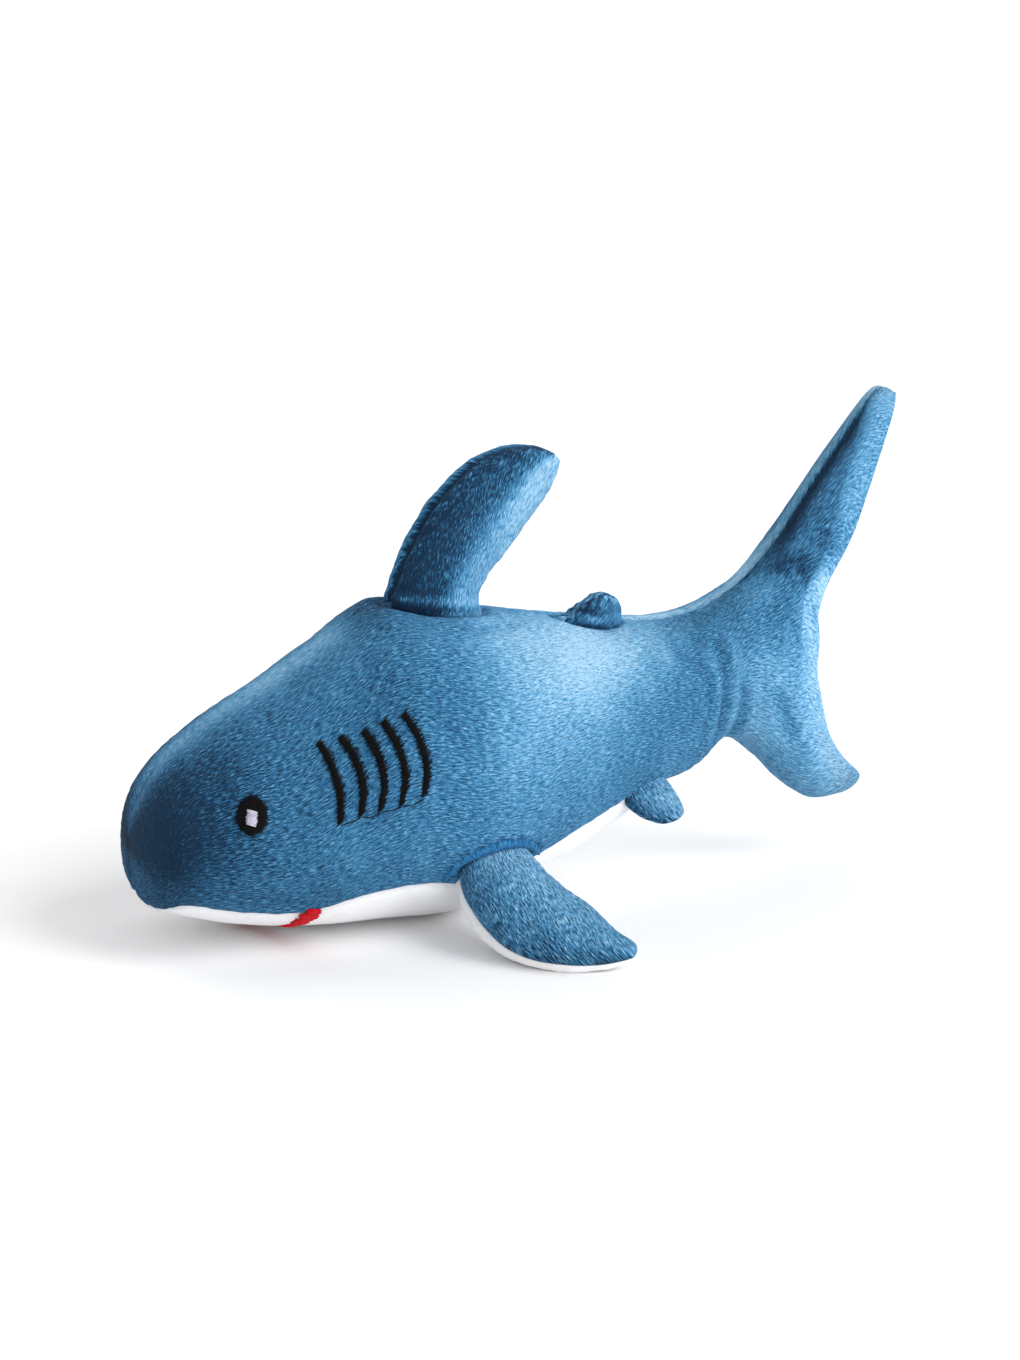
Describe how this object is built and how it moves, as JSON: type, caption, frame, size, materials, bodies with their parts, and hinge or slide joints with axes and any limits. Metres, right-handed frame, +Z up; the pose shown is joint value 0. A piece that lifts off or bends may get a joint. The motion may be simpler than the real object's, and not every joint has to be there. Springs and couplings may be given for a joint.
{
  "type": "plush shark",
  "caption": "Stuffed plush shark with sewn side and belly panels, embroidered face, upright back fin, forked tail and soft side fins.",
  "frame": {"origin": "middle of the toy's footprint, on the surface it rests on", "axes": "-X toward the nose, +X toward the tail, +Z up; -Y and +Y are the two sides, alike about Y = 0"},
  "size_m": [0.25, 0.1582, 0.1487],
  "materials": {
    "blue_pile": "short soft pile",
    "white_pile": "short soft pile",
    "stuffing": "loose fibre",
    "black_thread": "satin stitch",
    "red_thread": "satin stitch",
    "lilac_thread": "satin stitch",
    "blue_sewing_thread": "sewing thread",
    "white_sewing_thread": "sewing thread"
  },
  "bodies": {
    "body": {"left_side_panel": "blue_pile", "right_side_panel": "blue_pile", "belly_panel": "white_pile", "body_stuffing": "stuffing", "left_eye_patch": "black_thread", "right_eye_patch": "black_thread", "left_eye_highlight": "lilac_thread", "right_eye_highlight": "lilac_thread", "left_gill_stitches": "black_thread", "right_gill_stitches": "black_thread", "left_gill_thread": "black_thread", "right_gill_thread": "black_thread", "mouth_patch": "red_thread", "dorsal_seam_thread": "blue_sewing_thread", "left_belly_seam_thread": "white_sewing_thread", "right_belly_seam_thread": "white_sewing_thread"},
    "tail": {"left_tail_panel": "blue_pile", "right_tail_panel": "blue_pile", "tail_stuffing": "stuffing", "tail_seam_thread": "blue_sewing_thread"},
    "dorsal_fin": {"dorsal_fin_left_panel": "blue_pile", "dorsal_fin_right_panel": "blue_pile", "dorsal_fin_stuffing": "stuffing"},
    "second_dorsal_fin": {"second_dorsal_left_panel": "blue_pile", "second_dorsal_right_panel": "blue_pile", "second_dorsal_stuffing": "stuffing"},
    "left_pectoral_fin": {"left_pectoral_upper_panel": "blue_pile", "left_pectoral_lower_panel": "white_pile", "left_pectoral_stuffing": "stuffing"},
    "right_pectoral_fin": {"right_pectoral_upper_panel": "blue_pile", "right_pectoral_lower_panel": "white_pile", "right_pectoral_stuffing": "stuffing"},
    "left_pelvic_fin": {"left_pelvic_outer_panel": "blue_pile", "left_pelvic_inner_panel": "blue_pile", "left_pelvic_stuffing": "stuffing"},
    "right_pelvic_fin": {"right_pelvic_outer_panel": "blue_pile", "right_pelvic_inner_panel": "blue_pile", "right_pelvic_stuffing": "stuffing"}
  },
  "joints": [
    {"name": "tail_swing", "type": "hinge", "parent": "body", "child": "tail", "pos_m": [0.064, 0, 0.064], "axis": [0, 0, 1], "range_deg": [-32, 32], "stiffness_Nm_per_rad": 0.04},
    {"name": "dorsal_fin_flop", "type": "hinge", "parent": "body", "child": "dorsal_fin", "pos_m": [-0.0302, 0, 0.1017], "axis": [0.9887, 0, -0.1496], "range_deg": [-35, 35], "stiffness_Nm_per_rad": 0.02},
    {"name": "second_dorsal_flop", "type": "hinge", "parent": "body", "child": "second_dorsal_fin", "pos_m": [0.0196, 0, 0.0891], "axis": [0.9902, 0, -0.1396], "range_deg": [-40, 40], "stiffness_Nm_per_rad": 0.003},
    {"name": "left_pectoral_flap", "type": "hinge", "parent": "body", "child": "left_pectoral_fin", "pos_m": [-0.0225, -0.0388, 0.015], "axis": [-0.9879, -0.1226, -0.0954], "range_deg": [-8, 45], "stiffness_Nm_per_rad": 0.1},
    {"name": "right_pectoral_flap", "type": "hinge", "parent": "body", "child": "right_pectoral_fin", "pos_m": [-0.0225, 0.0388, 0.015], "axis": [0.9879, -0.1226, 0.0954], "range_deg": [-8, 45], "stiffness_Nm_per_rad": 0.1},
    {"name": "left_pelvic_flap", "type": "hinge", "parent": "body", "child": "left_pelvic_fin", "pos_m": [0.0336, -0.022, 0.0305], "axis": [-0.9064, -0.3602, -0.2208], "range_deg": [-25, 35], "stiffness_Nm_per_rad": 0.003},
    {"name": "right_pelvic_flap", "type": "hinge", "parent": "body", "child": "right_pelvic_fin", "pos_m": [0.0336, 0.022, 0.0305], "axis": [0.9064, -0.3602, 0.2208], "range_deg": [-25, 35], "stiffness_Nm_per_rad": 0.003}
  ]
}
